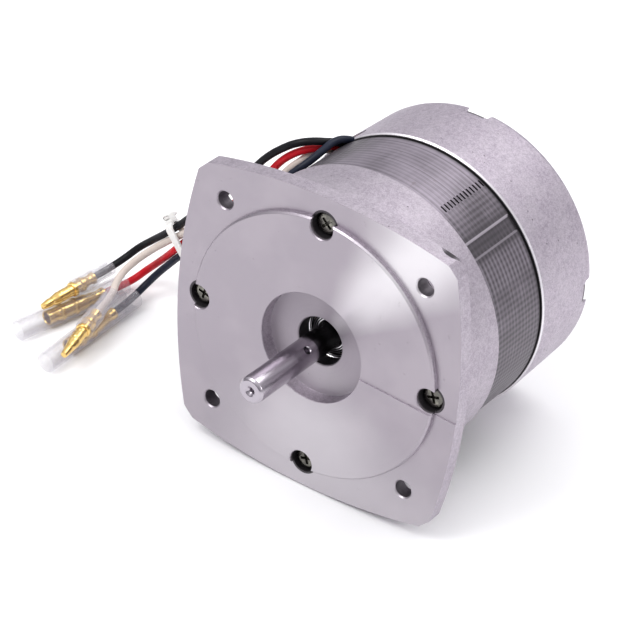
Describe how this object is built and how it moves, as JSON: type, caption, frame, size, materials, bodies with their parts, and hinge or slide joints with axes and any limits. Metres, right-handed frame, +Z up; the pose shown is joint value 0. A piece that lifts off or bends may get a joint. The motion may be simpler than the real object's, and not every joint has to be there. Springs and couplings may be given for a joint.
{
  "type": "electric motor",
  "caption": "Small square-flanged induction motor with a round pilot, plain shaft with a cross hole, and leads ending in bullet plugs and sockets.",
  "frame": {"origin": "centre of the flange's mounting face, on the shaft's axis", "axes": "the shaft points along -Y out of the flange, +X is to the right seen from the shaft end, +Z is up"},
  "size_m": [0.1587, 0.1086, 0.0956],
  "materials": {
    "cast_face": "die-cast, turned face, satin",
    "cast_body": "die-cast, fine grain",
    "lamination": "stacked electrical steel, ground outside",
    "slot_paper": "insulating film",
    "wedge_paper": "pressed insulating strip",
    "enamelled_copper": "varnished copper wire",
    "lacing_cord": "flat woven cord",
    "rotor_steel": "turned laminations",
    "cast_cage": "cast aluminium",
    "shaft_steel": "ground steel",
    "bearing_steel": "ground bearing steel",
    "ball_steel": "polished",
    "cage_steel": "pressed steel",
    "shield_steel": "pressed steel",
    "spring_steel": "blackened spring steel",
    "bolt_steel": "dark zinc-plated steel",
    "grommet_rubber": "moulded rubber",
    "splice_tube": "insulating tube over a soldered joint",
    "lead_black": "vinyl-insulated copper strand",
    "lead_white": "vinyl-insulated copper strand",
    "lead_red": "vinyl-insulated copper strand",
    "lead_navy": "vinyl-insulated copper strand",
    "terminal_brass": "bare brass",
    "clear_sleeve": "clear soft vinyl",
    "tie_nylon": "white nylon"
  },
  "bodies": {
    "motor_body": {"front_bracket": "cast_face", "rear_bracket": "cast_body", "stator_core": "lamination", "slot_liners": "slot_paper", "slot_wedges": "wedge_paper", "main_winding": "enamelled_copper", "winding_lacing": "lacing_cord", "front_outer_ring": "bearing_steel", "front_shields": "shield_steel", "front_circlip": "spring_steel", "rear_outer_ring": "bearing_steel", "rear_shields": "shield_steel", "wave_washer": "spring_steel", "through_bolts": "bolt_steel", "bolt_washers": "bolt_steel", "lead_grommet": "grommet_rubber", "lead_splices": "splice_tube", "lead_black": "lead_black", "lead_white": "lead_white", "lead_red": "lead_red", "lead_navy": "lead_navy", "black_plug": "terminal_brass", "white_plug": "terminal_brass", "red_socket": "terminal_brass", "navy_socket": "terminal_brass", "black_sleeve": "clear_sleeve", "white_sleeve": "clear_sleeve", "red_sleeve": "clear_sleeve", "navy_sleeve": "clear_sleeve", "cable_tie": "tie_nylon"},
    "rotor": {"shaft": "shaft_steel", "rotor_core": "rotor_steel", "rotor_cage": "cast_cage", "front_inner_ring": "bearing_steel", "rear_inner_ring": "bearing_steel"},
    "front_ball_set": {"front_balls": "ball_steel", "front_ball_cage": "cage_steel"},
    "rear_ball_set": {"rear_balls": "ball_steel", "rear_ball_cage": "cage_steel"}
  },
  "joints": [
    {"name": "rotor_spin", "type": "hinge", "parent": "motor_body", "child": "rotor", "pos_m": [0, 0, 0], "axis": [0, -1, 0], "continuous": true},
    {"name": "front_balls_spin", "type": "hinge", "parent": "motor_body", "child": "front_ball_set", "pos_m": [0, 0.0115, 0], "axis": [0, -1, 0], "continuous": true},
    {"name": "rear_balls_spin", "type": "hinge", "parent": "motor_body", "child": "rear_ball_set", "pos_m": [0, 0.0675, 0], "axis": [0, -1, 0], "continuous": true}
  ],
  "couplings": [
    {"joint": "front_balls_spin", "follows": "rotor_spin", "ratio": 0.3733},
    {"joint": "rear_balls_spin", "follows": "rotor_spin", "ratio": 0.3733}
  ]
}
